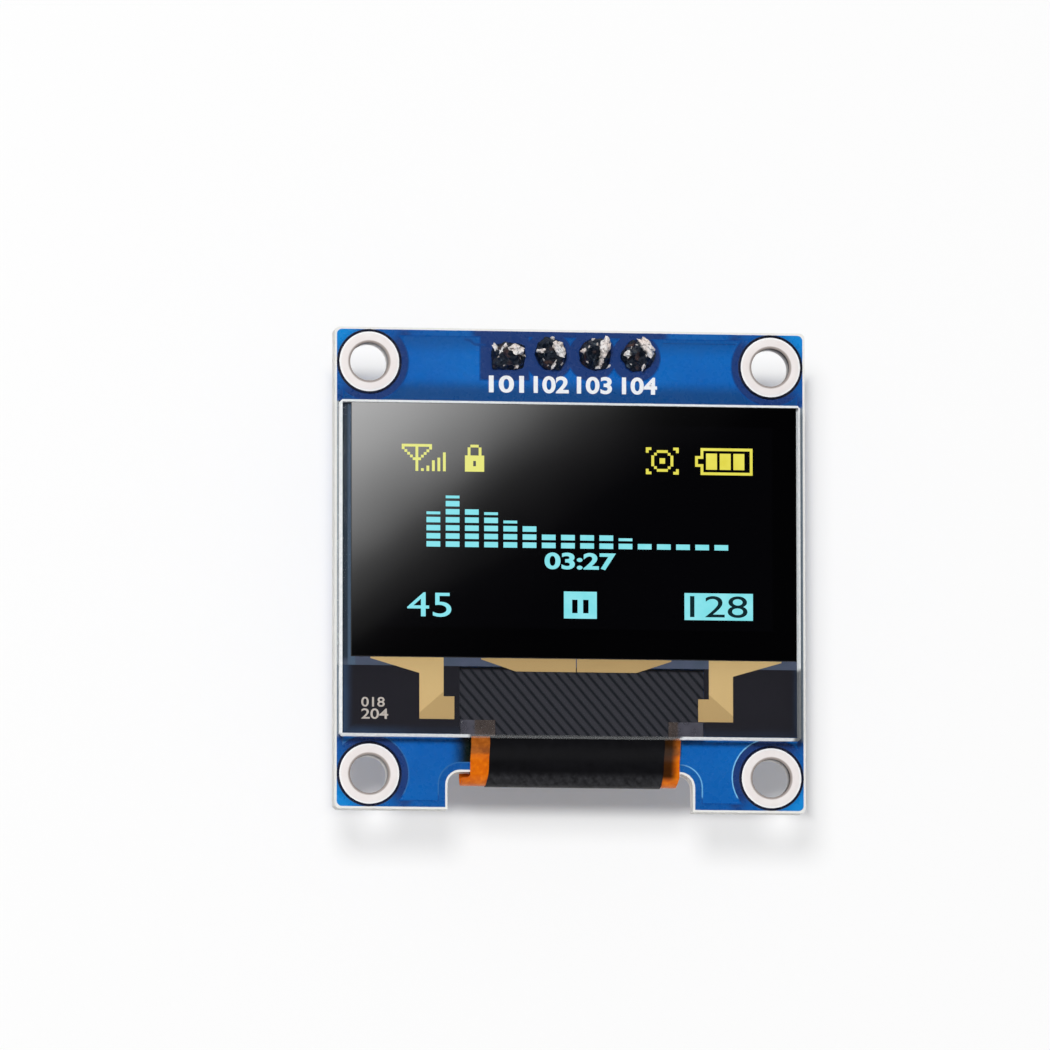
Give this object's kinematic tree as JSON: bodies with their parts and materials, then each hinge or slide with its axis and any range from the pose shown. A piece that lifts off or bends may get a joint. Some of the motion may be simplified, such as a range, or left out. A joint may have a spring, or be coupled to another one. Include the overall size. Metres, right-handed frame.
{
  "type": "small graphic display module",
  "caption": "Light-emitting glass display on a blue circuit board with plated mounting holes, folded flexible cable and pin header.",
  "frame": {"origin": "centre of the four mounting holes, on the back of the board", "axes": "+X right, +Y towards the header, +Z out of the display"},
  "size_m": [0.0274, 0.0278, 0.0116],
  "materials": {
    "board_fibre": "pale glass-fibre laminate, sawn edge",
    "blue_lacquer": "dark blue lacquer on bare board",
    "blue_copper": "blue lacquer over copper",
    "tinned_ring": "tinned copper, satin",
    "black_plastic": "moulded black plastic",
    "pin_metal": "tinned brass, bright",
    "solder": "solder, bright and uneven",
    "white_tape": "foam tape",
    "rear_glass": "clear glass",
    "drying_sheet": "drying sheet",
    "slate_glue": "cured glue, slate blue",
    "emitter": "thin dark layer with a metal back",
    "front_glass": "clear glass with ground edges",
    "black_gloss_film": "black film, high gloss",
    "black_film": "black film",
    "gold_contact": "thin gold-coloured metal",
    "lit_cyan": "lit cyan elements",
    "lit_yellow": "lit yellow elements",
    "orange_film": "orange polyimide film",
    "black_cover_film": "black cover film over traces",
    "clear_glue": "clear glue",
    "silicon": "polished silicon",
    "moulded_black": "moulded black epoxy",
    "lead_metal": "tinned leads",
    "capacitor_ceramic": "fired ceramic",
    "resistor_body": "glazed black film on white ceramic"
  },
  "bodies": {
    "root": {"circuit_board": "board_fibre", "mask_front": "blue_lacquer", "mask_back": "blue_lacquer", "copper_front": "blue_copper", "copper_back": "blue_copper", "mounting_ring_1": "tinned_ring", "mounting_ring_2": "tinned_ring", "mounting_ring_3": "tinned_ring", "mounting_ring_4": "tinned_ring", "header_body": "black_plastic", "header_pin_1": "pin_metal", "header_pin_2": "pin_metal", "header_pin_3": "pin_metal", "header_pin_4": "pin_metal", "pin_pads": "tinned_ring", "solder_joint_1": "solder", "solder_joint_2": "solder", "solder_joint_3": "solder", "solder_joint_4": "solder", "tape_pad": "white_tape", "rear_glass": "rear_glass", "moisture_getter": "drying_sheet", "edge_seal": "slate_glue", "emitter_layer": "emitter", "front_glass": "front_glass", "polarizer": "black_gloss_film", "ledge_film": "black_film", "electrode_left": "gold_contact", "electrode_right": "gold_contact", "electrode_centre": "gold_contact", "lit_bars": "lit_cyan", "lit_status": "lit_yellow", "lit_boxes": "lit_cyan", "flex_cable": "orange_film", "flex_coverlay": "black_cover_film", "flex_bond": "clear_glue", "driver_chip": "silicon", "flex_pads": "tinned_ring", "flex_solder": "solder", "part_pads": "tinned_ring", "regulator": "moulded_black", "regulator_leads": "lead_metal", "diode": "moulded_black", "capacitor_1": "capacitor_ceramic", "capacitor_2": "capacitor_ceramic", "capacitor_3": "capacitor_ceramic", "capacitor_4": "capacitor_ceramic", "capacitor_5": "capacitor_ceramic", "capacitor_6": "capacitor_ceramic", "resistor_1": "resistor_body", "resistor_2": "resistor_body", "resistor_3": "resistor_body", "resistor_4": "resistor_body", "resistor_5": "resistor_body"}
  },
  "joints": []
}
